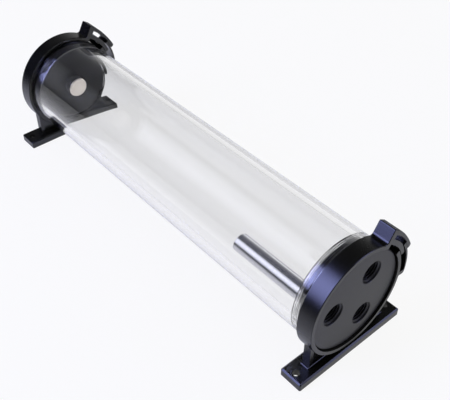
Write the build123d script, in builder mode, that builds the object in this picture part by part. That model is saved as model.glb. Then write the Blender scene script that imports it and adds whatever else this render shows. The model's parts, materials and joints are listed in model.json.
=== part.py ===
from build123d import *

import os
from math import cos, isclose, radians, sin, sqrt

os.makedirs("parts", exist_ok=True)

# Water cooling reservoir: a clear tube between two screwed end caps, lying in two snap brackets.
# The tube's axis runs along Y, the front cap with its three ports faces -Y, and the feet stand on Z = 0.

# Tube
tube_od = 60.0
tube_wall = 5.0
tube_mouth_chamfer = 0.5
length_over_caps = 270.0

# End caps
flange_thickness = 5.5
spigot_length = 9.0
cap_edge_chamfer = 0.6
spigot_chamfer = 0.5
thread_clearance = 0.07

# Ports, G1/4: the bore is cut to the thread's outer diameter
port_r = 6.58
port_chamfer = 0.25
port_circle_r = 16.3
port_count = 3
port_start_angle = 54.4
inlet_port_index = 1

# O-rings of the caps
cap_seal_section_r = 1.0
seal_play = 0.05
seal_land = 0.8
seal_side_play = 0.2

# Inlet tube, screwed into a narrower seat at the inner end of one port
inlet_r = 5.0
inlet_seat_r = 6.0
inlet_wall = 1.0
inlet_reach = 51.0
inlet_collar_length = 6.0
inlet_lip_chamfer = 0.3

# Plug of the rear port
plug_proud = 6.0
plug_head_r = 8.6
plug_head_thickness = 3.0
plug_end_chamfer = 0.5
plug_head_chamfer = 0.4
plug_key_across_flats = 6.0
plug_key_depth = 4.0
plug_seal_section_r = 0.7
plug_seal_circle_r = 7.45

# Brackets: the middle of each ring lies this far in from its cap's outer face
ring_inset = 3.7
foot_length = 76.0
foot_width = 14.0
foot_thickness = 4.8
foot_chamfer = 0.8
foot_corner_r = 0.8
screw_hole_r = 2.0
screw_hole_inset = 4.0

# Pedestal under the ring: a thin web between two thicker ends, on a low plinth
pedestal_length = 54.4
pedestal_thickness = 4.6
pedestal_end = 2.4
web_thickness = 2.2
plinth_height = 0.7
plinth_margin = 1.2
plinth_side_margin = 0.3
plinth_chamfer = 0.25

# Ring
ring_width = 10.0
ring_shift = -0.7
ring_clearance = 0.2
ring_wall = 2.3
ring_edge_chamfer = 0.3
bend_angle = 188.0

# Snap of the ring: angles in degrees from +X, anticlockwise as seen from the front
upper_ring_end_angle = 54.7
thumb_block_angle = 60.0
thumb_fillet_r = 2.0
thumb_edge_r = 0.6
thumb_height = 8.9
finger_root_angle = 54.0
upper_tip_angle = 22.4
lower_tip_angle = 31.6
lower_tip_r = 1.0
slot_web_end_angle = 32.2
slot_web_thickness = 1.2
finger_gap = 0.2
inner_barb = 0.4
middle_finger = 2.8
middle_finger_taper = 0.9
middle_tip_r = 0.6
taper_start_angle = 36.6
latch_finger = 1.3
latch_barb = 0.6
latch_root_finger = 0.8
latch_root_drop = 0.4
latch_slot_clearance = 0.5
outer_finger = 1.7
outer_tip_r = 1.5
latch_root_angle = -2.8
latch_foot_angle = -7.0
latch_heel_angle = -9.5
latch_corner_r = 1.5
barb_start_angle = 14.0

# Places that follow
tube_r = tube_od / 2
bore_r = tube_r - tube_wall
ring_bore_r = tube_r + ring_clearance
ring_r = ring_bore_r + ring_wall
axis_height = foot_thickness + plinth_height + ring_r
bracket_spacing = length_over_caps - 2 * ring_inset
front_face_y = ring_shift - length_over_caps / 2
rear_face_y = ring_shift + length_over_caps / 2
cap_thickness = flange_thickness + spigot_length
spigot_r = bore_r - thread_clearance
seal_circle_r = bore_r - seal_play - cap_seal_section_r
seal_groove_r = seal_circle_r - cap_seal_section_r - seal_play
seal_groove_width = 2 * (cap_seal_section_r + seal_side_play)
seal_place = flange_thickness + seal_land + seal_groove_width / 2
tube_axis = Axis((0, 0, axis_height), (0, 1, 0))


def turning_plane(face_y, inward):
    """Plane through the tube's axis: local x runs inwards from an end face, local y is the radius."""
    return Plane(origin=(0, face_y, axis_height), x_dir=(0, inward, 0), z_dir=(inward, 0, 0))


def facing_plane(y):
    """Upright plane across the tube's axis at y, with its origin on the axis, facing the front."""
    return Plane(origin=(0, y, axis_height), x_dir=(1, 0, 0), z_dir=(0, -1, 0))


def polar(angle, radius):
    """Point of a facing plane at an angle and a radius from the tube's axis."""
    return (radius * cos(radians(angle)), radius * sin(radians(angle)))


def cap_profile(face_y, inward):
    """Half section of a cap: flange, seal land, seal groove and spigot."""
    groove_start = seal_place - seal_groove_width / 2
    groove_end = seal_place + seal_groove_width / 2
    with BuildSketch(turning_plane(face_y, inward)) as profile:
        with BuildLine():
            Polyline(
                (0, 0),
                (cap_thickness, 0),
                (cap_thickness, spigot_r - spigot_chamfer),
                (cap_thickness - spigot_chamfer, spigot_r),
                (groove_end, spigot_r),
                (groove_end, seal_groove_r),
                (groove_start, seal_groove_r),
                (groove_start, spigot_r),
                (flange_thickness, spigot_r),
                (flange_thickness, tube_r),
                (cap_edge_chamfer, tube_r),
                (0, tube_r - cap_edge_chamfer),
                close=True,
            )
        make_face()
    return profile.sketch


def cap_seal_profile(face_y, inward):
    """Round section of a cap's O-ring, in its groove."""
    with BuildSketch(turning_plane(face_y, inward)) as profile:
        with Locations((seal_place, seal_circle_r)):
            Circle(cap_seal_section_r)
    return profile.sketch


# Clear tube
with BuildPart() as tube:
    with BuildSketch(facing_plane(rear_face_y - flange_thickness)):
        Circle(tube_r)
        Circle(bore_r, mode=Mode.SUBTRACT)
    extrude(amount=length_over_caps - 2 * flange_thickness)
    bore_edges = tube.edges().filter_by(GeomType.CIRCLE).sort_by(SortBy.RADIUS)[:2]
    chamfer(bore_edges, tube_mouth_chamfer)
tube.part.label = "tube"
export_step(tube.part, "parts/tube.step")

# Front cap with its three ports, one of them with the inlet tube's seat behind it
cap_inner_y = front_face_y + cap_thickness
inlet_angle = port_start_angle + inlet_port_index * 360 / port_count
inlet_place = polar(inlet_angle, port_circle_r)
with BuildPart() as front_cap:
    revolve(cap_profile(front_face_y, 1), axis=tube_axis)
    with BuildSketch(facing_plane(front_face_y)):
        with PolarLocations(port_circle_r, port_count, start_angle=port_start_angle):
            Circle(port_r)
    extrude(amount=inlet_collar_length - cap_thickness, mode=Mode.SUBTRACT)
    with BuildSketch(facing_plane(cap_inner_y)):
        with PolarLocations(port_circle_r, port_count, start_angle=port_start_angle):
            Circle(port_r)
        with Locations(inlet_place):
            Circle(port_r, mode=Mode.SUBTRACT)
            Circle(inlet_seat_r)
    extrude(amount=inlet_collar_length, mode=Mode.SUBTRACT)
    port_mouths = front_cap.faces().sort_by(Axis.Y)[0].edges().sort_by(SortBy.RADIUS)[:port_count]
    chamfer(port_mouths, port_chamfer)
front_cap.part.label = "front_cap"
export_step(front_cap.part, "parts/front_cap.step")

with BuildPart() as front_cap_o_ring:
    revolve(cap_seal_profile(front_face_y, 1), axis=tube_axis)
front_cap_o_ring.part.label = "front_cap_o_ring"
export_step(front_cap_o_ring.part, "parts/front_cap_o_ring.step")

# Inlet tube: a threaded collar in its seat, then the plain tube
with BuildPart() as inlet_tube:
    with BuildSketch(facing_plane(cap_inner_y)):
        with Locations(inlet_place):
            Circle(inlet_seat_r - thread_clearance)
    extrude(amount=inlet_collar_length)
    with BuildSketch(facing_plane(cap_inner_y)):
        with Locations(inlet_place):
            Circle(inlet_r)
    extrude(amount=-inlet_reach)
    chamfer(inlet_tube.faces().sort_by(Axis.Y)[-1].edges(), inlet_lip_chamfer)
    with BuildSketch(facing_plane(cap_inner_y + inlet_reach)):
        with Locations(inlet_place):
            Circle(inlet_r - inlet_wall)
    extrude(amount=inlet_reach + inlet_collar_length, mode=Mode.SUBTRACT)
inlet_tube.part.label = "inlet_tube"
export_step(inlet_tube.part, "parts/inlet_tube.step")

# Rear cap with one port in its middle
with BuildPart() as rear_cap:
    revolve(cap_profile(rear_face_y, -1), axis=tube_axis)
    with BuildSketch(facing_plane(rear_face_y)):
        Circle(port_r)
    extrude(amount=cap_thickness, mode=Mode.SUBTRACT)
    port_mouth = rear_cap.faces().sort_by(Axis.Y)[-1].edges().sort_by(SortBy.RADIUS)[0]
    chamfer(port_mouth, port_chamfer)
rear_cap.part.label = "rear_cap"
export_step(rear_cap.part, "parts/rear_cap.step")

with BuildPart() as rear_cap_o_ring:
    revolve(cap_seal_profile(rear_face_y, -1), axis=tube_axis)
rear_cap_o_ring.part.label = "rear_cap_o_ring"
export_step(rear_cap_o_ring.part, "parts/rear_cap_o_ring.step")

# Plug of the rear port: head with a hexagon socket and a seal groove, then the long thread
plug_thread_length = cap_thickness + plug_proud
plug_seal_groove_depth = 2 * plug_seal_section_r + seal_play
plug_seal_half_width = plug_seal_section_r + seal_play
plug_seal_plane = turning_plane(rear_face_y, 1)
with BuildPart() as rear_plug:
    with BuildSketch(facing_plane(rear_face_y)):
        Circle(port_r - thread_clearance)
    extrude(amount=plug_thread_length)
    chamfer(rear_plug.faces().sort_by(Axis.Y)[0].edges(), plug_end_chamfer)
    with BuildSketch(facing_plane(rear_face_y)):
        Circle(plug_head_r)
    extrude(amount=-plug_head_thickness)
    chamfer(rear_plug.faces().sort_by(Axis.Y)[-1].edges(), plug_head_chamfer)
    with BuildSketch(facing_plane(rear_face_y + plug_head_thickness)):
        RegularPolygon(plug_key_across_flats / 2, 6, major_radius=False)
    extrude(amount=plug_key_depth, mode=Mode.SUBTRACT)
    with BuildSketch(plug_seal_plane):
        with Locations((plug_seal_groove_depth / 2, plug_seal_circle_r)):
            Rectangle(plug_seal_groove_depth, 2 * plug_seal_half_width)
    revolve(axis=tube_axis, mode=Mode.SUBTRACT)
rear_plug.part.label = "rear_plug"
export_step(rear_plug.part, "parts/rear_plug.step")

with BuildPart() as rear_plug_o_ring:
    with BuildSketch(plug_seal_plane):
        with Locations((plug_seal_section_r + seal_play / 2, plug_seal_circle_r)):
            Circle(plug_seal_section_r)
    revolve(axis=tube_axis)
rear_plug_o_ring.part.label = "rear_plug_o_ring"
export_step(rear_plug_o_ring.part, "parts/rear_plug_o_ring.step")

# Radii of the snap, from the ring outwards
middle_in_r = ring_r + inner_barb + finger_gap
middle_out_r = middle_in_r + middle_finger
latch_in_r = middle_out_r + finger_gap
latch_out_r = latch_in_r + latch_finger
outer_in_r = latch_out_r + latch_barb + latch_slot_clearance
outer_out_r = outer_in_r + outer_finger
thumb_r = ring_r + thumb_height


def lower_ring_profile(plane):
    """Lower part of the ring from the bend round to its barbed end, seen along the axis."""
    bend = bend_angle - 360
    with BuildSketch(plane) as profile:
        with BuildLine():
            Line(polar(bend, ring_bore_r), polar(bend, ring_r))
            CenterArc((0, 0), ring_r, bend, barb_start_angle - bend)
            ThreePointArc(
                polar(barb_start_angle, ring_r),
                polar((barb_start_angle + lower_tip_angle) / 2, ring_r + inner_barb / 2),
                polar(lower_tip_angle, ring_r + inner_barb),
            )
            Line(polar(lower_tip_angle, ring_r + inner_barb), polar(lower_tip_angle, ring_bore_r))
            CenterArc((0, 0), ring_bore_r, lower_tip_angle, bend - lower_tip_angle)
        make_face()
        fillet(profile.vertices().sort_by_distance(polar(lower_tip_angle, ring_bore_r))[0], lower_tip_r)
    return profile.sketch


def latch_profile(plane):
    """Outer lower finger: a foot on the ring, then a thin arm that widens to a barb."""
    root_in = polar(latch_root_angle, latch_in_r - latch_root_drop)
    root_out = polar(latch_root_angle, latch_in_r - latch_root_drop + latch_root_finger)
    corner = polar(latch_foot_angle, latch_in_r)
    seat_r = ring_r - ring_wall / 2
    with BuildSketch(plane) as profile:
        with BuildLine():
            Line(polar(latch_root_angle, seat_r), root_in)
            ThreePointArc(
                root_in,
                polar((latch_root_angle + lower_tip_angle) / 2, latch_in_r),
                polar(lower_tip_angle, latch_in_r),
            )
            Line(polar(lower_tip_angle, latch_in_r), polar(lower_tip_angle, latch_out_r + latch_barb))
            Line(polar(lower_tip_angle, latch_out_r + latch_barb), polar(upper_tip_angle, latch_out_r))
            ThreePointArc(
                polar(upper_tip_angle, latch_out_r),
                polar((latch_root_angle + upper_tip_angle) / 2, latch_out_r - latch_root_drop),
                root_out,
            )
            Polyline(
                root_out,
                corner,
                polar(latch_foot_angle, ring_r),
                polar(latch_heel_angle, seat_r),
                polar(latch_root_angle, seat_r),
            )
        make_face()
        fillet(profile.vertices().sort_by_distance(corner)[0], latch_corner_r)
    return profile.sketch


def clip_arm_profile(plane):
    """Upper part of the ring from the bend to the thumb block, with the two upper fingers."""
    tip_r = middle_out_r - middle_finger_taper
    thumb_foot = polar(thumb_block_angle, ring_r)
    thumb_corner = polar(thumb_block_angle, thumb_r)
    middle_tip = polar(upper_tip_angle, tip_r)
    outer_tip = polar(upper_tip_angle, outer_out_r)
    with BuildSketch(plane) as profile:
        with BuildLine():
            Line(polar(bend_angle, ring_r), polar(bend_angle, ring_bore_r))
            CenterArc((0, 0), ring_bore_r, bend_angle, upper_ring_end_angle - bend_angle)
            Line(polar(upper_ring_end_angle, ring_bore_r), polar(upper_ring_end_angle, middle_in_r))
            CenterArc((0, 0), middle_in_r, upper_ring_end_angle, lower_tip_angle - upper_ring_end_angle)
            Polyline(
                polar(lower_tip_angle, middle_in_r),
                polar(upper_tip_angle, middle_in_r - inner_barb / 2),
                middle_tip,
            )
            ThreePointArc(
                middle_tip,
                polar((upper_tip_angle + taper_start_angle) / 2, middle_out_r - middle_finger_taper / 2),
                polar(taper_start_angle, middle_out_r),
            )
            CenterArc((0, 0), middle_out_r, taper_start_angle, finger_root_angle - taper_start_angle)
            Line(polar(finger_root_angle, middle_out_r), polar(finger_root_angle, outer_in_r))
            CenterArc((0, 0), outer_in_r, finger_root_angle, lower_tip_angle - finger_root_angle)
            Polyline(
                polar(lower_tip_angle, outer_in_r),
                polar(lower_tip_angle, latch_out_r + latch_barb + finger_gap),
                polar(upper_tip_angle, latch_out_r + finger_gap),
                outer_tip,
            )
            ThreePointArc(
                outer_tip,
                polar((upper_tip_angle + finger_root_angle) / 2, outer_out_r),
                polar(finger_root_angle, thumb_r),
            )
            Polyline(polar(finger_root_angle, thumb_r), thumb_corner, thumb_foot)
            CenterArc((0, 0), ring_r, thumb_block_angle, bend_angle - thumb_block_angle)
        make_face()
        fillet(profile.vertices().sort_by_distance(thumb_foot)[0], thumb_fillet_r)
        fillet(profile.vertices().sort_by_distance(thumb_corner)[0], thumb_edge_r)
        fillet(profile.vertices().sort_by_distance(middle_tip)[0], middle_tip_r)
        fillet(profile.vertices().sort_by_distance(outer_tip)[0], outer_tip_r)
    return profile.sketch


def slot_web_profile(plane):
    """Web in the slot between the ring's bore and the middle finger, short of the lower part's tip."""
    web_angle = slot_web_end_angle - upper_ring_end_angle
    with BuildSketch(plane) as profile:
        with BuildLine():
            Line(polar(upper_ring_end_angle, ring_bore_r), polar(upper_ring_end_angle, middle_in_r))
            CenterArc((0, 0), middle_in_r, upper_ring_end_angle, web_angle)
            Line(polar(slot_web_end_angle, middle_in_r), polar(slot_web_end_angle, ring_bore_r))
            CenterArc((0, 0), ring_bore_r, slot_web_end_angle, -web_angle)
        make_face()
    return profile.sketch


def pedestal_profile(plane, inner_half):
    """Upright under the ring, from the foot up into the ring's wall, without its middle part."""
    half = pedestal_length / 2
    wall_r = ring_bore_r + ring_wall / 2
    top = -sqrt(wall_r**2 - half**2)
    bottom = foot_thickness - axis_height
    with BuildSketch(plane) as profile:
        with Locations((0, (top + bottom) / 2)):
            Rectangle(pedestal_length, top - bottom)
            if inner_half > 0:
                Rectangle(2 * inner_half, top - bottom, mode=Mode.SUBTRACT)
        Circle(wall_r, mode=Mode.SUBTRACT)
    return profile.sketch


def outer_ring_edges(piece):
    """Arcs along the ring's outer surface, in its front and its back plane."""
    arcs = piece.edges().filter_by(GeomType.CIRCLE).filter_by(lambda edge: isclose(edge.radius, ring_r))
    return arcs.group_by(Axis.Y)[0] + arcs.group_by(Axis.Y)[-1]


# Two identical brackets, each with its clip arm
for end, foot_y in (("front", -bracket_spacing / 2), ("rear", bracket_spacing / 2)):
    ring_back = facing_plane(foot_y + ring_shift + ring_width / 2)
    foot_middle = facing_plane(foot_y)

    with BuildPart() as bracket:
        with BuildSketch(Plane.XY):
            with Locations((0, foot_y)):
                RectangleRounded(foot_length, foot_width, foot_corner_r)
        extrude(amount=foot_thickness)
        chamfer(bracket.faces().sort_by(Axis.Z)[-1].edges(), foot_chamfer)
        with BuildSketch(Plane.XY):
            with Locations((0, foot_y)):
                with GridLocations(foot_length - 2 * screw_hole_inset, 0, 2, 1):
                    Circle(screw_hole_r)
        extrude(amount=foot_thickness, mode=Mode.SUBTRACT)
        with BuildSketch(Plane.XY.offset(foot_thickness)):
            with Locations((0, foot_y)):
                Rectangle(pedestal_length + 2 * plinth_margin, pedestal_thickness + 2 * plinth_side_margin)
        extrude(amount=plinth_height)
        chamfer(bracket.faces().sort_by(Axis.Z)[-1].edges(), plinth_chamfer)
        extrude(pedestal_profile(foot_middle, 0), amount=web_thickness / 2, both=True)
        extrude(
            pedestal_profile(foot_middle, pedestal_length / 2 - pedestal_end),
            amount=pedestal_thickness / 2,
            both=True,
        )
        extrude(lower_ring_profile(ring_back), amount=ring_width)
        chamfer(outer_ring_edges(bracket), ring_edge_chamfer)
        extrude(latch_profile(ring_back), amount=ring_width)
    bracket.part.label = f"{end}_bracket"
    export_step(bracket.part, f"parts/{end}_bracket.step")

    with BuildPart() as clip_arm:
        extrude(clip_arm_profile(ring_back), amount=ring_width)
        extrude(slot_web_profile(ring_back), amount=slot_web_thickness)
        chamfer(outer_ring_edges(clip_arm), ring_edge_chamfer)
    clip_arm.part.label = f"{end}_clip_arm"
    export_step(clip_arm.part, f"parts/{end}_clip_arm.step")
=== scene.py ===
"""Looks of a water cooling reservoir: a clear tube between two black caps, held in two snap brackets."""

import json
from math import atan2, cos, pi, radians, sin, tau

import bpy
import numpy as np
from bpy.props import FloatProperty, FloatVectorProperty, IntProperty, PointerProperty
from bpy.types import Operator, Panel, PropertyGroup
from mathutils import Matrix, Vector


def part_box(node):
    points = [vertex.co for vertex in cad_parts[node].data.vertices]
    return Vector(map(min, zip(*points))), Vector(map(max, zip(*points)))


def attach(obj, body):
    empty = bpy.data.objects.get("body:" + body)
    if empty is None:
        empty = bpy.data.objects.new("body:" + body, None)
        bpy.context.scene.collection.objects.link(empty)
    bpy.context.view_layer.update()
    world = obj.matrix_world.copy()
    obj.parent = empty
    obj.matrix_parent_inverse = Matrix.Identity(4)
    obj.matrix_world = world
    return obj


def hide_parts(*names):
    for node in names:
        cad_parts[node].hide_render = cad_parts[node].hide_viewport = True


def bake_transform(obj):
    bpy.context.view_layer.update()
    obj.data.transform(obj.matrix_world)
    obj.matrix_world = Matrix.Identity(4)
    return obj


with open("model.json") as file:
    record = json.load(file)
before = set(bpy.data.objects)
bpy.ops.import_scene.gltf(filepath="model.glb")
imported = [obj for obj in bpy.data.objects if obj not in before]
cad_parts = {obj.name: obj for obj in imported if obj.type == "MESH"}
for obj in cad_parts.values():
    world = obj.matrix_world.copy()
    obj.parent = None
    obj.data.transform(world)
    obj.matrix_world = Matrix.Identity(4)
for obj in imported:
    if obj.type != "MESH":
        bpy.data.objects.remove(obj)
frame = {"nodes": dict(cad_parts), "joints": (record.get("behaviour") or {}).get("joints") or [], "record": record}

bl_info = {
    "name": "Water Cooling Reservoir",
    "version": (1, 0, 0),
    "blender": (4, 5, 0),
    "location": "3D View > Sidebar > Reservoir",
    "description": "Builds the visible pieces and finishes of a tube reservoir with snap brackets",
    "category": "Object",
}

MM = 0.001
WHITE = (1, 1, 1)

# An edge that turns by more than this stays sharp
SHARP_ANGLE = radians(32)

# A thread's form: how steep its flanks are, and how much of its wave is cut off at the root
FLANK_SLOPE = 1.3
ROOT_CUT = 0.15

# Places read from the frame, in metres
TUBE_LOW, TUBE_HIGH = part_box("tube")
FRONT_CAP_LOW, FRONT_CAP_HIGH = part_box("front_cap")
REAR_CAP_LOW, REAR_CAP_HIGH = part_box("rear_cap")
PLUG_LOW, PLUG_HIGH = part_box("rear_plug")
AXIS_HEIGHT = (TUBE_LOW.z + TUBE_HIGH.z) / 2
TUBE_RADIUS = (TUBE_HIGH.x - TUBE_LOW.x) / 2
MOUNTS = {mount["name"]: mount for mount in frame["record"]["mounts"]}
JOINTS = {joint["name"]: joint for joint in frame["joints"]}
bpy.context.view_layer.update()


class TubeSizes(PropertyGroup):
    wall: FloatProperty(
        name="Wall", description="Thickness of the clear tube", default=5 * MM, min=1 * MM, unit="LENGTH"
    )
    mouth_chamfer: FloatProperty(
        name="Mouth chamfer", description="Radial size of the chamfer inside each end", default=0.7 * MM, unit="LENGTH"
    )
    mouth_depth: FloatProperty(
        name="Mouth depth", description="Length of the same chamfer", default=0.5 * MM, unit="LENGTH"
    )
    edge_round: FloatProperty(
        name="Edge", description="Broken outer edge of each end", default=0.2 * MM, unit="LENGTH"
    )
    thread_beyond: FloatProperty(
        name="Thread beyond", description="How far the inner thread runs on past a cap", default=2.0 * MM, unit="LENGTH"
    )
    columns: IntProperty(name="Columns", description="Faces around the tube", default=432, min=24)
    rows: IntProperty(name="Rows", description="Rows of faces along a plain stretch", default=6, min=2)


class ThreadSizes(PropertyGroup):
    cap_pitch: FloatProperty(name="Cap pitch", description="Travel per turn of a cap", default=1.0 * MM, unit="LENGTH")
    cap_depth: FloatProperty(name="Cap depth", description="Height of a cap's thread", default=0.5 * MM, unit="LENGTH")
    cap_start: FloatProperty(
        name="Cap start", description="From a cap's outer face to its thread", default=8.7 * MM, unit="LENGTH"
    )
    port_pitch: FloatProperty(
        name="Port pitch", description="Travel per turn of a port thread", default=1.337 * MM, unit="LENGTH"
    )
    port_depth: FloatProperty(
        name="Port depth", description="Height of a port thread", default=0.856 * MM, unit="LENGTH"
    )
    clearance: FloatProperty(
        name="Clearance", description="Radial gap between two threads", default=0.07 * MM, unit="LENGTH"
    )
    cap_chamfer: FloatProperty(
        name="Cap chamfer", description="Plain edge at a cap's inner end", default=0.5 * MM, unit="LENGTH"
    )
    port_mouth: FloatProperty(
        name="Port mouth", description="Plain length at each end of a port", default=0.5 * MM, unit="LENGTH"
    )
    port_columns: IntProperty(name="Port columns", description="Faces around a port's thread", default=72, min=24)
    fade: FloatProperty(
        name="Fade", description="Share of a turn over which a thread runs out", default=0.6, subtype="FACTOR"
    )
    rows_per_turn: IntProperty(name="Rows", description="Rows of faces along one pitch", default=10, min=6)


class PlugSizes(PropertyGroup):
    key: FloatProperty(name="Key", description="Hexagon socket across flats", default=6 * MM, unit="LENGTH")
    key_depth: FloatProperty(name="Key depth", description="Depth of the socket", default=4 * MM, unit="LENGTH")
    head: FloatProperty(name="Head", description="Thickness of the head", default=3 * MM, unit="LENGTH")
    head_chamfer: FloatProperty(name="Head chamfer", description="Edge of the head", default=0.4 * MM, unit="LENGTH")
    end_chamfer: FloatProperty(name="End chamfer", description="Edge of the end", default=0.5 * MM, unit="LENGTH")
    groove_inner: FloatProperty(
        name="Groove inner radius", description="Seal groove under the head", default=6.7 * MM, unit="LENGTH"
    )
    groove_outer: FloatProperty(
        name="Groove outer radius", description="Seal groove under the head", default=8.2 * MM, unit="LENGTH"
    )
    groove_depth: FloatProperty(
        name="Groove depth", description="Depth of the groove", default=1.45 * MM, unit="LENGTH"
    )
    fade: FloatProperty(
        name="Fade", description="Share of a turn over which the thread runs out", default=0.4, subtype="FACTOR"
    )
    land: FloatProperty(
        name="Land", description="Share of a turn from the plain end down to the root", default=0.3, subtype="FACTOR"
    )
    columns: IntProperty(name="Columns", description="Faces around the plug", default=96, min=24)


class BendSizes(PropertyGroup):
    half_angle: FloatProperty(
        name="Half angle", description="Stretch of ring each side of the bend", default=radians(3), unit="ROTATION"
    )
    skin: FloatProperty(name="Skin", description="How far the bend stands proud", default=0.015 * MM, unit="LENGTH")
    ring_wall: FloatProperty(name="Ring wall", description="Thickness of the ring", default=2.3 * MM, unit="LENGTH")
    ring_width: FloatProperty(name="Ring width", description="Width of the ring", default=10 * MM, unit="LENGTH")
    ring_chamfer: FloatProperty(
        name="Ring chamfer", description="Chamfer of the ring's outer edges", default=0.3 * MM, unit="LENGTH"
    )
    rows: IntProperty(name="Rows", description="Rows of faces round the bend", default=16, min=4)


class Colours(PropertyGroup):
    acrylic: FloatVectorProperty(
        name="Acrylic", description="Tint of the clear tube", subtype="COLOR", size=3, default=(0.948, 0.948, 0.954)
    )
    acetal: FloatVectorProperty(
        name="Acetal", description="Caps", subtype="COLOR", size=3, default=(0.020, 0.020, 0.022)
    )
    nylon: FloatVectorProperty(
        name="Nylon", description="Brackets and clip arms", subtype="COLOR", size=3, default=(0.0038, 0.0036, 0.0018)
    )
    rubber: FloatVectorProperty(
        name="Rubber", description="Seals", subtype="COLOR", size=3, default=(0.012, 0.012, 0.012)
    )
    steel: FloatVectorProperty(
        name="Steel", description="Inlet tube", subtype="COLOR", size=3, default=(0.66, 0.66, 0.69)
    )
    nickel: FloatVectorProperty(
        name="Nickel", description="Plug", subtype="COLOR", size=3, default=(0.93, 0.86, 0.78)
    )
    # Dark grey that the plug's thread is coloured in place of the nickel
    paste: FloatVectorProperty(
        name="Paste", description="Sealing paste on the plug's thread", subtype="COLOR", size=3,
        default=(0.05, 0.05, 0.055),
    )
    floor: FloatVectorProperty(
        name="Floor", description="Floor", subtype="COLOR", size=3, default=(0.86, 0.86, 0.86)
    )
    key_light: FloatVectorProperty(
        name="Key light", description="Large softbox", subtype="COLOR", size=3, default=(0.43, 0.47, 1.0)
    )
    faint_light: FloatVectorProperty(
        name="Faint light", description="Large softbox in the tube", subtype="COLOR", size=3, default=(0.88, 0.90, 1.0)
    )
    fill_light: FloatVectorProperty(
        name="Fill light", description="Small softbox", subtype="COLOR", size=3, default=(0.54, 0.57, 1.0)
    )
    studio: FloatVectorProperty(
        name="Studio", description="Dim room that reflections show", subtype="COLOR", size=3,
        default=(0.030, 0.031, 0.038),
    )


class StudioSizes(PropertyGroup):
    floor_half: FloatProperty(name="Floor", description="Half the floor's side", default=4.0, unit="LENGTH")
    floor_shadow: FloatProperty(
        name="Floor shadow", description="Share of lamp light in the floor's look", default=0.10, subtype="FACTOR"
    )
    reflected_shadow: FloatProperty(
        name="Reflected shadow", description="Share of lamp light in the floor's reflection", default=0.55,
        subtype="FACTOR",
    )
    pool: FloatVectorProperty(
        name="Pool of light", description="Half width and half depth of the lit floor", size=2,
        subtype="XYZ", default=(0.18, 0.36),
    )
    pool_middle: FloatVectorProperty(
        name="Pool middle", description="Middle of the lit floor", size=2, subtype="XYZ", default=(0.03, 0.10)
    )
    pool_light: FloatProperty(name="Pool strength", description="Strength of the pool, cut off at 1", default=1.15)
    floor_inside: FloatProperty(
        name="Floor from inside", description="Its whiteness in a piece inside the tube", default=0.3, subtype="FACTOR"
    )
    aim: FloatVectorProperty(
        name="Aim", description="Point that the softboxes face", size=3, subtype="TRANSLATION",
        default=(0.0, -0.05, AXIS_HEIGHT),
    )
    box_distance: FloatProperty(
        name="Softbox distance", description="From the aim to each softbox", default=1.0, unit="LENGTH"
    )
    key_direction: FloatVectorProperty(
        name="Key direction", description="From the aim to the large softbox", size=3, subtype="DIRECTION",
        default=(-0.709, 0.34, 0.595),
    )
    key_size: FloatVectorProperty(
        name="Key size", description="Height and length of the large softbox's bright part", size=2, subtype="XYZ",
        default=(1.16, 0.50),
    )
    key_radiance: FloatProperty(name="Key radiance", description="Light of the large softbox", default=7.4)
    fill_direction: FloatVectorProperty(
        name="Fill direction", description="From the aim to the small softbox", size=3, subtype="DIRECTION",
        default=(0.53, -0.77, 0.36),
    )
    fill_size: FloatVectorProperty(
        name="Fill size", description="Height and length of the small softbox", size=2, subtype="XYZ",
        default=(0.60, 0.35),
    )
    fill_radiance: FloatProperty(name="Fill radiance", description="Light of the small softbox", default=3.0)
    box_length: FloatProperty(
        name="Softbox length", description="Length of the large one with its faint ends", default=6.0, unit="LENGTH"
    )
    lamp_in_glass: FloatProperty(name="Softbox in glass", description="Its brightness in the tube's wall", default=0.9)
    lamp_in_thread: FloatProperty(
        name="Softbox in thread", description="Its brightness after two reflections in the tube's wall", default=7.0
    )
    lamp_from_inside: FloatProperty(
        name="Softbox from inside", description="Its brightness in a piece inside the tube", default=1.9
    )
    room_from_inside: FloatProperty(
        name="Room from inside", description="How much brighter the dim studio is in a piece inside the tube",
        default=4.0,
    )
    ambient: FloatProperty(name="Ambient", description="Even light on matt surfaces", default=0.62)
    screen: FloatVectorProperty(
        name="Screen", description="Direction of the white screen behind the object", size=3, subtype="DIRECTION",
        default=(0.46, 0.54, -0.70),
    )
    screen_edge: FloatProperty(
        name="Screen edge", description="Cosine at which the screen begins, away from its middle", default=0.35
    )
    screen_fade: FloatProperty(
        name="Screen fade", description="Cosine over which the screen fades in", default=0.25
    )
    screen_light: FloatProperty(name="Screen light", description="Its strength in the tube's reflections", default=0.58)
    side_wall: FloatProperty(name="Pale side", description="Light of the studio's pale side", default=0.65)
    camera_place: FloatVectorProperty(
        name="Camera", description="Camera position", size=3, subtype="TRANSLATION",
        default=(-0.20149, -0.27218, 0.31213),
    )
    camera_target: FloatVectorProperty(
        name="Target", description="Point that the camera looks at", size=3, subtype="TRANSLATION",
        default=(0.005867, -0.030612, 0.030),
    )
    camera_roll: FloatProperty(name="Roll", description="Camera roll", default=radians(-0.182), unit="ROTATION")
    lens: FloatProperty(name="Lens", description="Focal length in millimetres", default=58.30)


SETTINGS = (
    ("tube", TubeSizes),
    ("thread", ThreadSizes),
    ("plug", PlugSizes),
    ("bend", BendSizes),
    ("colours", Colours),
    ("studio", StudioSizes),
)


class ReservoirSettings(PropertyGroup):
    tube: PointerProperty(type=TubeSizes, name="Tube", description="Sizes of the clear tube")
    thread: PointerProperty(type=ThreadSizes, name="Thread", description="Sizes of the threads")
    plug: PointerProperty(type=PlugSizes, name="Plug", description="Sizes of the rear port's plug")
    bend: PointerProperty(type=BendSizes, name="Bend", description="Sizes of the rings where they bend")
    colours: PointerProperty(type=Colours, name="Colours", description="Colours of the finishes and the studio")
    studio: PointerProperty(type=StudioSizes, name="Studio", description="Floor, softboxes, surroundings and camera")


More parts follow.
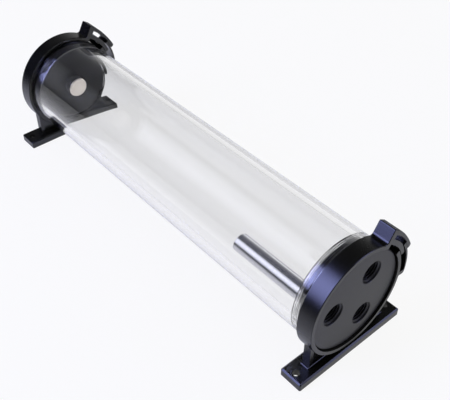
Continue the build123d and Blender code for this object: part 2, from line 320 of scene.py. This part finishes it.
def settings():
    """The scene's settings for this object."""
    return bpy.context.scene.reservoir


def add_object(name, data):
    """An object of the scene that shows a mesh, or holds a camera's data."""
    made = bpy.data.objects.new(name, data)
    bpy.context.scene.collection.objects.link(made)
    return made


def grid_mesh(name, points, ring_of_rows=False):
    """Mesh of a grid of points with shape (rows, columns, 3). Each row is a closed loop.

    The rows either close on themselves, as on a ring, or each end is closed by a fan round its middle.
    """
    rows, columns = points.shape[:2]
    index = np.arange(rows * columns).reshape(rows, columns)
    following = np.roll(index, -1, axis=0) if ring_of_rows else index[1:]
    here = index if ring_of_rows else index[:-1]
    quads = np.stack(
        (here, np.roll(here, -1, axis=1), np.roll(following, -1, axis=1), following), axis=-1
    ).reshape(-1, 4)
    vertices = points.reshape(-1, 3)
    faces = quads.tolist()
    if not ring_of_rows:
        first, last = rows * columns, rows * columns + 1
        vertices = np.vstack((vertices, points[0].mean(axis=0), points[-1].mean(axis=0)))
        start = np.stack((np.full(columns, first), np.roll(index[0], -1), index[0]), axis=-1)
        end = np.stack((np.full(columns, last), index[-1], np.roll(index[-1], -1)), axis=-1)
        faces += start.tolist() + end.tolist()
    mesh = bpy.data.meshes.new(name)
    mesh.from_pydata(vertices.tolist(), [], faces)
    mesh.update()
    if signed_volume(mesh) < 0:
        mesh.flip_normals()
    mesh.shade_smooth()
    mesh.set_sharp_from_angle(angle=SHARP_ANGLE)
    return add_object(name, mesh)


def signed_volume(mesh):
    """Volume of a closed mesh: a sixth of the sum, over its triangles, of corner dot (corner cross corner)."""
    mesh.calc_loop_triangles()
    corners = np.zeros(len(mesh.loop_triangles) * 3, np.int32)
    mesh.loop_triangles.foreach_get("vertices", corners)
    places = np.zeros(len(mesh.vertices) * 3, np.float32)
    mesh.vertices.foreach_get("co", places)
    a, b, c = places.reshape(-1, 3)[corners.reshape(-1, 3)].transpose(1, 0, 2).astype(float)
    return float(np.sum(a * np.cross(b, c)) / 6)


def turned(radius, along, centre, angles):
    """Points of a turned surface: x = centre x + r cos a, y = along, z = centre z + r sin a."""
    x = centre[0] + radius * np.cos(angles)
    z = centre[1] + radius * np.sin(angles)
    return np.stack(np.broadcast_arrays(x, along, z), axis=-1)


def thread_height(along, angles, pitch, start, end, fade):
    """Height from 0 to 1 of a right-handed thread: a clipped triangle wave of y / pitch + angle / turn.

    Two threads of one pitch so fit in each other. It fades to nothing over a short length at each end.
    """
    phase = np.mod(along / pitch + angles / tau, 1)
    wave = 1 - 2 * np.abs(phase - 0.5)
    form = np.clip(FLANK_SLOPE * wave - ROOT_CUT, 0, 1)
    ends = np.clip((along - start) / fade, 0, 1) * np.clip((end - along) / fade, 0, 1)
    return form * ends


def round_angles(columns):
    """Angles of the columns of a turned surface, one row high."""
    return np.arange(columns)[None, :] * tau / columns


def thread_rows(start, end, pitch):
    """Places of the rows along a thread: its two ends, and the whole steps between them.

    A whole step that lies closer to an end than a fifth of a step is left out.
    """
    step = pitch / settings().thread.rows_per_turn
    least = 0.2
    whole = np.arange(np.ceil(start / step + least), np.floor(end / step - least) + 1) * step
    return np.concatenate(([start], whole, [end]))


def threaded_sleeve(name, centre, start, end, wall_radius, depth, pitch, outward, columns):
    """Thread that stands on a wall: its skin is wall radius + thread height, and its back is inside the wall."""
    skin = 0.01 * MM
    back = 0.4 * MM
    side = 1 if outward else -1
    angles = round_angles(columns)
    along = thread_rows(start, end, pitch)[:, None]
    height = thread_height(along, angles, pitch, start, end, pitch * settings().thread.fade)
    front = turned(wall_radius + side * (skin + depth * height), along, centre, angles)
    behind = turned(wall_radius - side * back + 0 * angles, along[[-1, 0]], centre, angles)
    return grid_mesh(name, np.concatenate((front, behind)), ring_of_rows=True)


class Wire:
    """A shader socket that Python's operators work on, through Math nodes."""

    def __init__(self, graph, socket):
        self.graph = graph
        self.socket = socket

    def maths(self, operation, first, second):
        """One Math node on two values."""
        return self.graph.node("ShaderNodeMath", {"operation": operation}, {0: first, 1: second})

    def __add__(self, other):
        return self.maths("ADD", self, other)

    __radd__ = __add__

    def __sub__(self, other):
        return self.maths("SUBTRACT", self, other)

    def __rsub__(self, other):
        return self.maths("SUBTRACT", other, self)

    def __mul__(self, other):
        return self.maths("MULTIPLY", self, other)

    __rmul__ = __mul__

    def __truediv__(self, other):
        return self.maths("DIVIDE", self, other)

    def __rtruediv__(self, other):
        return self.maths("DIVIDE", other, self)

    def __pow__(self, other):
        return self.maths("POWER", self, other)

    def most(self, other):
        """The larger of this and another value."""
        return self.maths("MAXIMUM", self, other)

    def least(self, other):
        """The smaller of this and another value."""
        return self.maths("MINIMUM", self, other)

    def over(self, limit):
        """1 where this is over a limit, else 0. A depth is whole, so its limit lies halfway between two."""
        return self.maths("GREATER_THAN", self, limit)


def with_alpha(colour):
    """A colour as a socket takes it, with its alpha. A wire stays as it is."""
    return colour if isinstance(colour, Wire) else (*colour, 1)


class Graph:
    """A node tree that grows through one method."""

    def __init__(self, owner):
        owner.use_nodes = True
        self.tree = owner.node_tree

    def node(self, kind, choices=None, inputs=None, output=0):
        """Adds a node: its settings first, then the values or links of its sockets."""
        made = self.tree.nodes.new(kind)
        for key, value in (choices or {}).items():
            setattr(made, key, value)
        for key, value in (inputs or {}).items():
            if isinstance(value, Wire):
                self.tree.links.new(value.socket, made.inputs[key])
            else:
                made.inputs[key].default_value = value
        return Wire(self, made.outputs[output])

    def axes(self, vector):
        """The x, the y and the z of a vector."""
        split = self.node("ShaderNodeSeparateXYZ", {}, {0: vector}).socket.node
        return [Wire(self, output) for output in split.outputs]

    def blend(self, share, first, second):
        """Colour between two colours."""
        sockets = {0: share, 6: with_alpha(first), 7: with_alpha(second)}
        return self.node("ShaderNodeMix", {"data_type": "RGBA"}, sockets, output=2)

    def light(self, kind, colour, strength):
        """A shader that gives light: Emission on a surface, Background in the world."""
        return self.node(f"ShaderNode{kind}", {}, {"Color": with_alpha(colour), "Strength": strength})

    def between(self, share, first, second):
        """A shader between two shaders."""
        return self.node("ShaderNodeMixShader", {}, {0: share, 1: first, 2: second})

    def path(self, name):
        """One output of Light Path."""
        return self.node("ShaderNodeLightPath", output=name)

    def from_inside(self):
        """1 for light that a piece inside the tube has sent back, else 0."""
        return self.path("Glossy Depth").over(0.5) * self.path("Transmission Depth").over(2.5)

    def shiny(self, kind="Is Glossy Ray"):
        """1 for a kind of ray that no matt surface has scattered, else 0."""
        return self.path(kind) * (1 - self.path("Diffuse Depth").over(0.5))

    def seen(self):
        """1 for what the eye sees, also through the tube and in its wall, else 0."""
        return self.path("Is Camera Ray").most(self.shiny("Is Transmission Ray") * (1 - self.from_inside()))

    def straight(self):
        """1 for what the eye sees with no reflection on the way, else 0."""
        through = self.shiny("Is Transmission Ray") * (1 - self.path("Glossy Depth").over(0.5))
        return self.path("Is Camera Ray").most(through)

    def show(self, wire):
        """Links a shader to the tree's output."""
        output = next(node for node in self.tree.nodes if node.bl_idname.startswith("ShaderNodeOutput"))
        self.tree.links.new(wire.socket, output.inputs["Surface"])


class Finish(Graph):
    """One procedural material: its node tree and its Principled shader."""

    def __init__(self, name):
        self.material = bpy.data.materials.new(name)
        super().__init__(self.material)
        self.shader = self.tree.nodes["Principled BSDF"]

    def set(self, **values):
        """Constants of the Principled shader, written on its own sockets. Underscores stand for spaces."""
        for key, value in values.items():
            self.shader.inputs[key.replace("_", " ")].default_value = value

    def feed(self, socket, wire):
        """Links a varying value to a socket of the Principled shader."""
        self.tree.links.new(wire.socket, self.shader.inputs[socket])

    def place(self, scale=(1, 1, 1)):
        """Object coordinates, with the origin on the tube's axis, stretched by a scale per axis."""
        coordinates = self.node("ShaderNodeTexCoord", output="Object")
        offset = (0, 0, -AXIS_HEIGHT * scale[2])
        return self.node("ShaderNodeMapping", {}, {"Vector": coordinates, "Location": offset, "Scale": scale})

    def noise(self, vector, scale=1.0, detail=3.0):
        """Noise value from 0 to 1 with features of 1 / scale."""
        return self.node("ShaderNodeTexNoise", {}, {"Vector": vector, "Scale": scale, "Detail": detail})

    def turning_marks(self, place, scale):
        """Noise that changes only with the distance from the tube's axis, the root of x squared plus z squared."""
        across, _, up = self.axes(place)
        radius = (across * across + up * up) ** 0.5
        return self.noise(self.node("ShaderNodeCombineXYZ", {}, {0: radius * scale}), detail=2.0)

    def tint(self, share, colour, dark, pale):
        """Base colour that lies between two shades of a colour, each given as a factor."""
        self.feed("Base Color", self.blend(share, shade(colour, dark), shade(colour, pale)))

    def bump(self, height, distance):
        """Normal tilted by a height between 0 and 1, times a distance in metres."""
        return self.node("ShaderNodeBump", {}, {"Height": height, "Distance": distance})


def shade(colour, factor):
    """A colour times a factor."""
    return tuple(channel * factor for channel in colour)


def cast_acrylic():
    """Cast acrylic: clear and polished, with faint lengthwise streaks in its tint."""
    finish = Finish("cast_acrylic")
    colour = settings().colours.acrylic
    finish.set(Transmission_Weight=1.0, IOR=1.49, Roughness=0.0)
    streaks = finish.noise(finish.place(scale=(180, 5, 180)), detail=2.0)
    finish.tint(streaks, colour, dark=0.985, pale=1.015)
    return finish.material


def turned_acetal():
    """Black acetal: satin, with the fine rings that a turning tool leaves."""
    finish = Finish("turned_acetal")
    colour = settings().colours.acetal
    place = finish.place()
    rings = finish.turning_marks(place, scale=2600.0)
    cloud = finish.noise(place, scale=60.0)
    grain = finish.noise(place, scale=2200.0)
    finish.tint(cloud, colour, dark=0.85, pale=1.2)
    finish.feed("Roughness", 0.30 + cloud * 0.06 + rings * 0.06)
    finish.feed("Normal", finish.bump(rings * 0.7 + grain * 0.3, distance=0.012 * MM))
    return finish.material


def moulded_nylon():
    """Black nylon: satin, with the fine grain of a mould."""
    finish = Finish("moulded_nylon")
    colour = settings().colours.nylon
    finish.set(Specular_IOR_Level=0.75)
    place = finish.place()
    cloud = finish.noise(place, scale=45.0)
    grain = finish.noise(place, scale=1700.0, detail=2.0)
    finish.tint(cloud, colour, dark=0.85, pale=1.25)
    finish.feed("Roughness", 0.21 + cloud * 0.05 + grain * 0.05)
    finish.feed("Normal", finish.bump(grain, distance=0.02 * MM))
    return finish.material


def moulded_rubber():
    """Black rubber: dull, with a trace of mould grain."""
    finish = Finish("moulded_rubber")
    colour = settings().colours.rubber
    grain = finish.noise(finish.place(), scale=1800.0)
    finish.tint(grain, colour, dark=0.8, pale=1.3)
    finish.feed("Roughness", 0.5 + grain * 0.1)
    finish.feed("Normal", finish.bump(grain, distance=0.01 * MM))
    return finish.material


def drawn_steel():
    """Polished steel tube: fine polishing lines run round it."""
    finish = Finish("drawn_steel")
    colour = settings().colours.steel
    lines = finish.noise(finish.place(scale=(40, 2400, 40)), detail=2.0)
    cloud = finish.noise(finish.place(), scale=90.0)
    finish.set(Metallic=1.0)
    finish.tint(cloud, colour, dark=0.94, pale=1.05)
    finish.feed("Roughness", 0.10 + lines * 0.06)
    finish.feed("Normal", finish.bump(lines, distance=0.004 * MM))
    return finish.material


def plated_brass():
    """Nickel-plated brass: bright turned faces, slightly warm, and a thread that is coloured dark grey."""
    finish = Finish("plated_brass")
    colours, plug = settings().colours, settings().plug
    place = finish.place()
    along = finish.axes(place)[1]
    past_end = along.over(PLUG_LOW.y + plug.end_chamfer)
    past_thread = along.over(PLUG_HIGH.y - plug.head)
    thread = past_end * (1 - past_thread)
    rings = finish.turning_marks(place, scale=3000.0)
    cloud = finish.noise(place, scale=220.0)
    plate = finish.blend(cloud, shade(colours.nickel, 0.88), shade(colours.nickel, 1.08))
    finish.set(Metallic=1.0)
    # The thread, from the end chamfer to the head, is coloured dark grey instead of nickel
    finish.feed("Base Color", finish.blend(thread, plate, colours.paste))
    finish.feed("Roughness", 0.22 + rings * 0.14)
    finish.feed("Normal", finish.bump(rings, distance=0.01 * MM))
    return finish.material


def dress(material, *nodes):
    """Gives a finish to CAD nodes, through their objects' material slots."""
    for name in nodes:
        for slot in frame["nodes"][name].material_slots:
            slot.material = material


def shared(maker):
    """The material that a function makes and that has its name, made once for all the pieces."""
    return bpy.data.materials.get(maker.__name__) or maker()


class RESERVOIR_OT_clear_tube(Operator):
    """Clear tube with an inner thread at both ends"""

    bl_idname = "reservoir.clear_tube"
    bl_label = "Clear Tube"

    def execute(self, context):
        sizes, thread = settings().tube, settings().thread
        bore = TUBE_RADIUS - sizes.wall
        edge, mouth = sizes.edge_round, bore + sizes.mouth_chamfer
        pitch = thread.cap_pitch
        angles = round_angles(sizes.columns)
        centre = (0.0, AXIS_HEIGHT)

        def plain(places):
            """Rows that each have a place along the tube and one radius."""
            return [turned(r + 0 * angles, y, centre, angles) for y, r in places]

        def stretch(start, end, radius):
            """Rows along a plain stretch of tube."""
            return plain((y, radius) for y in np.linspace(start, end, sizes.rows))

        def bore_thread(start, end, past_start, past_end):
            """Rows of the bore's thread, from its high end to its low one.

            It is cut off at an end that it would run past, and fades out at the other.
            """
            along = thread_rows(start, end, pitch)[:, None]
            height = thread_height(along, angles, pitch, start - past_start, end + past_end, pitch * thread.fade)
            return turned(bore + thread.cap_depth * height, along, centre, angles)[::-1]

        low, high = TUBE_LOW.y, TUBE_HIGH.y
        rear_start = REAR_CAP_LOW.y - sizes.thread_beyond
        front_end = FRONT_CAP_HIGH.y + sizes.thread_beyond
        gap = pitch / 4
        # Once round the wall: outside from low to high, rear mouth and thread, bore, front thread and mouth
        points = np.concatenate(
            plain([(low, TUBE_RADIUS - edge)])
            + stretch(low + edge, high - edge, TUBE_RADIUS)
            + plain([(high, TUBE_RADIUS - edge), (high, mouth)])
            + [bore_thread(rear_start, high - sizes.mouth_depth, 0, pitch)]
            + stretch(rear_start - gap, front_end + gap, bore)
            + [bore_thread(low + sizes.mouth_depth, front_end, pitch, 0)]
            + plain([(low, mouth)])
        )
        tube = grid_mesh("clear_tube", points, ring_of_rows=True)
        tube.data.materials.append(shared(cast_acrylic))
        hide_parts("tube")
        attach(tube, "reservoir")
        return {"FINISHED"}


class RESERVOIR_OT_cap_threads(Operator):
    """Outer threads of the two caps"""

    bl_idname = "reservoir.cap_threads"
    bl_label = "Cap Threads"

    def execute(self, context):
        thread, sizes = settings().thread, settings().tube
        spigot = TUBE_RADIUS - sizes.wall - thread.clearance
        depth = thread.cap_depth - thread.clearance / 2
        front_stretch = FRONT_CAP_LOW.y + thread.cap_start, FRONT_CAP_HIGH.y - thread.cap_chamfer
        rear_stretch = REAR_CAP_LOW.y + thread.cap_chamfer, REAR_CAP_HIGH.y - thread.cap_start
        places = (
            ("front_cap_thread", "front_end", front_stretch),
            ("rear_cap_thread", "rear_end", rear_stretch),
        )
        for name, body, (start, end) in places:
            piece = threaded_sleeve(
                name, (0.0, AXIS_HEIGHT), start, end, spigot, depth, thread.cap_pitch, True, sizes.columns
            )
            piece.data.materials.append(shared(turned_acetal))
            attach(piece, body)
        return {"FINISHED"}


class RESERVOIR_OT_port_threads(Operator):
    """Inner threads of the three front ports"""

    bl_idname = "reservoir.port_threads"
    bl_label = "Port Threads"

    def execute(self, context):
        thread = settings().thread
        for name in ("port_upper", "port_lower_left", "port_lower_right"):
            mount = MOUNTS[name]
            x, y, z = mount["pos_m"]
            reach = mount["dims"]["length_mm"] * MM / 2 - thread.port_mouth
            piece = threaded_sleeve(
                f"{name}_thread", (x, z), y - reach, y + reach,
                mount["dims"]["r_mm"] * MM, thread.port_depth, thread.port_pitch, False, thread.port_columns,
            )
            piece.data.materials.append(shared(turned_acetal))
            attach(piece, "front_end")
        return {"FINISHED"}


class RESERVOIR_OT_plug(Operator):
    """Plug of the rear port, with its thread and its hexagon socket"""

    bl_idname = "reservoir.plug"
    bl_label = "Plug"

    def execute(self, context):
        sizes, thread = settings().plug, settings().thread
        pitch = thread.port_pitch
        angles = round_angles(sizes.columns)
        centre = (0.0, AXIS_HEIGHT)
        head_radius = (PLUG_HIGH.x - PLUG_LOW.x) / 2
        crest = MOUNTS["port_upper"]["dims"]["r_mm"] * MM - thread.clearance
        core = crest - thread.port_depth + thread.clearance
        end, top = PLUG_LOW.y, PLUG_HIGH.y
        seat = top - sizes.head
        start, stop = end + sizes.end_chamfer, seat - pitch
        # A hexagon's radius is its half width / the cosine of the angle from the middle of a side
        from_middle = np.mod(angles + pi / 6, pi / 3) - pi / 6
        socket = sizes.key / 2 / np.cos(from_middle)
        # The end is plain at the crest's radius, and falls to the root over the land
        along = thread_rows(start, stop, pitch)[:, None]
        height = thread_height(along, angles, pitch, start, stop, pitch * sizes.fade)
        land = np.clip(1 - (along - start) / (pitch * sizes.land), 0, 1)
        screw = turned(core + (crest - core) * np.maximum(height, land), along, centre, angles)
        head = [
            (seat, core), (seat, sizes.groove_inner), (seat + sizes.groove_depth, sizes.groove_inner),
            (seat + sizes.groove_depth, sizes.groove_outer), (seat, sizes.groove_outer), (seat, head_radius),
            (top - sizes.head_chamfer, head_radius), (top, head_radius - sizes.head_chamfer),
            (top, socket), (top - sizes.key_depth, socket),
        ]

        def ring(y, r):
            """One row at a place along the plug."""
            return turned(r + 0 * angles, y, centre, angles)

        points = np.concatenate([ring(end, crest - sizes.end_chamfer), screw] + [ring(y, r) for y, r in head])
        plug = grid_mesh("rear_plug_turned", points)
        plug.data.materials.append(shared(plated_brass))
        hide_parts("rear_plug")
        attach(plug, "plug")
        return {"FINISHED"}


class RESERVOIR_OT_ring_bends(Operator):
    """Short stretch of each ring over the place where its snap bends open"""

    bl_idname = "reservoir.ring_bends"
    bl_label = "Ring Bends"

    def execute(self, context):
        sizes = settings().bend
        for end in ("front", "rear"):
            hinge = Vector(JOINTS[f"{end}_clip_open"]["pos_m"])
            bend = atan2(hinge.z - AXIS_HEIGHT, hinge.x)
            outer = Vector((hinge.x, hinge.z - AXIS_HEIGHT)).length + sizes.skin
            inner = outer - sizes.ring_wall - 2 * sizes.skin
            half = sizes.ring_width / 2 + sizes.skin
            cut = sizes.ring_chamfer
            # The ring's section: a rectangle with its two outer corners cut off
            along = hinge.y + np.array((-half, -half, half, half, half - cut, cut - half))[None, :]
            radius = np.array((outer - cut, inner, inner, outer - cut, outer, outer))[None, :]
            below, above = bend + sizes.half_angle, bend - sizes.half_angle
            angles = np.linspace(above, below, sizes.rows)[:, None]
            piece = grid_mesh(f"{end}_ring_bend", turned(radius, along, (0.0, AXIS_HEIGHT), angles))
            piece.data.materials.append(shared(moulded_nylon))
            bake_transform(piece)
        return {"FINISHED"}


class RESERVOIR_OT_finishes(Operator):
    """Finishes of the caps, brackets, seals and inlet tube"""

    bl_idname = "reservoir.finishes"
    bl_label = "Finishes"

    def execute(self, context):
        dress(shared(turned_acetal), "front_cap", "rear_cap")
        dress(shared(moulded_nylon), "front_bracket", "rear_bracket", "front_clip_arm", "rear_clip_arm")
        dress(shared(moulded_rubber), "front_cap_o_ring", "rear_cap_o_ring", "rear_plug_o_ring")
        dress(shared(drawn_steel), "inlet_tube")
        return {"FINISHED"}


class RESERVOIR_OT_studio(Operator):
    """Floor, softboxes, surroundings and camera"""

    bl_idname = "reservoir.studio"
    bl_label = "Studio"

    def execute(self, context):
        studio, colours = settings().studio, settings().colours
        lay_floor()
        softbox(
            "key_softbox", studio.key_direction, studio.key_size, studio.box_length,
            studio.key_radiance, colours.key_light, colours.faint_light,
        )
        softbox(
            "fill_softbox", studio.fill_direction, studio.fill_size, studio.fill_size[1],
            studio.fill_radiance, colours.fill_light, colours.studio,
        )
        surround()
        place_camera()
        return {"FINISHED"}


def rectangle(name, half_x, half_y, height=0.0):
    """Flat rectangle round the origin that faces up."""
    mesh = bpy.data.meshes.new(name)
    corners = [(x * half_x, y * half_y, height) for x, y in ((-1, -1), (1, -1), (1, 1), (-1, 1))]
    mesh.from_pydata(corners, [], [(0, 1, 2, 3)])
    return add_object(name, mesh)


def lay_floor():
    """Flat square floor just under the feet, white to the eye, that keeps a light shadow."""
    studio, colours = settings().studio, settings().colours
    drop = 0.05 * MM
    floor = rectangle("floor", studio.floor_half, studio.floor_half, -drop)
    finish = Finish("studio_floor")
    finish.set(Base_Color=(*colours.floor, 1), Roughness=0.9, Specular_IOR_Level=0.0)
    seen = finish.seen()
    mirrored = finish.shiny() * (1 - seen)
    inside = finish.shiny() * finish.from_inside()
    lit = seen * (1 - studio.floor_shadow) + mirrored * (1 - studio.reflected_shadow) + inside * studio.floor_inside
    near = finish.between(lit, Wire(finish, finish.shader.outputs[0]), finish.light("Emission", WHITE, 1.0))
    far = mirrored * (1 - pool_of_light(finish))
    finish.show(finish.between(far, near, finish.light("Emission", colours.studio, 1.0)))
    floor.data.materials.append(finish.material)


def pool_of_light(finish):
    """Fall of light over the floor: its strength / (1 + d to the fourth), with d in half widths of an ellipse."""
    studio = settings().studio
    wide, deep = studio.pool
    middle = (-studio.pool_middle[0] / wide, -studio.pool_middle[1] / deep, 0)
    coordinates = finish.node("ShaderNodeTexCoord", output="Object")
    sockets = {"Vector": coordinates, "Location": middle, "Scale": (1 / wide, 1 / deep, 0)}
    across, back, _ = finish.axes(finish.node("ShaderNodeMapping", {}, sockets))
    to_the_fourth = (across * across + back * back) ** 2
    return (studio.pool_light / (to_the_fourth + 1)).least(1.0)


def softbox(name, direction, size, length, radiance, colour, faint_colour):
    """Lit rectangle that faces the object. Its light is 1 - d squared, with d the place across it in half widths.

    Its middle is bright, and its whole length shows faintly in the tube. Where the tube's wall has reflected twice, as
    in its thread, the whole length is bright.
    """
    studio = settings().studio
    away = Vector(direction).normalized()
    side = Vector((0, 1, 0)) - away * away.y
    side.normalize()
    turn = Matrix((side.cross(away), side, away)).transposed()
    tall, long = size[0] / 2, length / 2
    box = rectangle(name, tall, long)
    box.matrix_world = Matrix.Translation(Vector(studio.aim) + away * studio.box_distance) @ turn.to_4x4()
    box.visible_camera = False
    graph = Finish(name)
    across, along, _ = graph.axes(graph.node("ShaderNodeTexCoord", output="Object"))
    soft = (1 - (across / tall) ** 2).most(0.0)
    bright = (1 - (along / (size[1] / 2)) ** 2).over(0.0) * soft * radiance
    passed = graph.path("Transmission Depth")
    in_wall = passed.over(0.5) * studio.lamp_in_glass
    faint = (graph.from_inside() * studio.lamp_from_inside).most(in_wall) * soft * (1 - (along / long) ** 2)
    twice = graph.path("Glossy Depth").over(1.5) * passed.over(0.5) * (1 - passed.over(2.5))
    lamp = graph.light("Emission", colour, bright)
    veil = graph.light("Emission", faint_colour, faint)
    gleam = graph.light("Emission", colour, soft * studio.lamp_in_thread)
    in_tube = graph.between(twice, veil, gleam)
    graph.show(graph.between(graph.path("Is Singular Ray"), lamp, in_tube))
    box.data.materials.append(graph.material)


def surround():
    """White surroundings for the eye, even light on matt surfaces, and in reflections a dim studio with one pale side.

    That side's light is twice the direction's x, at most 1, times (1 - height) cubed, times its strength. Light that
    the tube has bent also meets a white screen. It fades in with the cosine of the angle from the screen's middle.
    """
    studio = settings().studio
    world = bpy.data.worlds.new("studio")
    bpy.context.scene.world = world
    graph = Graph(world)
    direction = graph.node("ShaderNodeTexCoord", output="Generated")
    across, _, height = graph.axes(direction)
    pale = (across * 2).most(0.0).least(1.0) * (1 - height.most(0.0)) ** 3 * studio.side_wall
    inside = graph.from_inside() * (studio.room_from_inside - 1) + 1
    dim = graph.light("Background", graph.blend(pale, settings().colours.studio, WHITE), inside)
    even = graph.light("Background", WHITE, studio.ambient)
    lit = graph.between(graph.shiny(), even, dim)
    sockets = {0: direction, 1: Vector(studio.screen).normalized()}
    cosine = graph.node("ShaderNodeVectorMath", {"operation": "DOT_PRODUCT"}, sockets, output="Value")
    bent = graph.shiny() * graph.path("Transmission Depth").over(0.5)
    near = ((cosine - studio.screen_edge) / studio.screen_fade).most(0.0).least(1.0)
    white = graph.straight().most(bent * near * studio.screen_light)
    graph.show(graph.between(white, lit, graph.light("Background", WHITE, 1.0)))


def place_camera():
    """Camera that looks from its place to its target, then rolls about its line of sight."""
    studio = settings().studio
    lens = bpy.data.cameras.new("camera")
    lens.lens = studio.lens
    lens.sensor_width = 36
    lens.clip_start = 0.01
    lens.clip_end = 50
    camera = add_object("camera", lens)
    place, target = Vector(studio.camera_place), Vector(studio.camera_target)
    back = (place - target).normalized()
    right = Vector((0, 0, 1)).cross(back).normalized()
    up = back.cross(right)
    roll = studio.camera_roll
    rolled_right = right * cos(roll) + up * sin(roll)
    rolled_up = up * cos(roll) - right * sin(roll)
    camera.rotation_mode = "QUATERNION"
    camera.rotation_quaternion = Matrix((rolled_right, rolled_up, back)).transposed().to_quaternion()
    camera.location = place
    bpy.context.scene.camera = camera


OPERATORS = (
    RESERVOIR_OT_clear_tube,
    RESERVOIR_OT_cap_threads,
    RESERVOIR_OT_port_threads,
    RESERVOIR_OT_plug,
    RESERVOIR_OT_ring_bends,
    RESERVOIR_OT_finishes,
    RESERVOIR_OT_studio,
)


class RESERVOIR_PT_pieces(Panel):
    """Lists the pieces in the sidebar"""

    bl_label = "Reservoir"
    bl_idname = "RESERVOIR_PT_pieces"
    bl_space_type = "VIEW_3D"
    bl_region_type = "UI"
    bl_category = "Reservoir"

    def draw(self, context):
        for operator in OPERATORS:
            self.layout.operator(operator.bl_idname)
        for name, group in SETTINGS:
            box = self.layout.box()
            box.label(text=name.capitalize())
            for key in group.__annotations__:
                box.prop(getattr(context.scene.reservoir, name), key)


CLASSES = tuple(group for name, group in SETTINGS) + (ReservoirSettings,) + OPERATORS + (RESERVOIR_PT_pieces,)


def register():
    for kind in CLASSES:
        bpy.utils.register_class(kind)
    bpy.types.Scene.reservoir = PointerProperty(type=ReservoirSettings)


def unregister():
    del bpy.types.Scene.reservoir
    for kind in reversed(CLASSES):
        bpy.utils.unregister_class(kind)


def main():
    """Builds every piece in order."""
    register()
    bpy.context.scene.view_settings.view_transform = "Standard"
    bpy.ops.reservoir.clear_tube()
    bpy.ops.reservoir.cap_threads()
    bpy.ops.reservoir.port_threads()
    bpy.ops.reservoir.plug()
    bpy.ops.reservoir.ring_bends()
    bpy.ops.reservoir.finishes()
    bpy.ops.reservoir.studio()


if __name__ == "__main__":
    main()
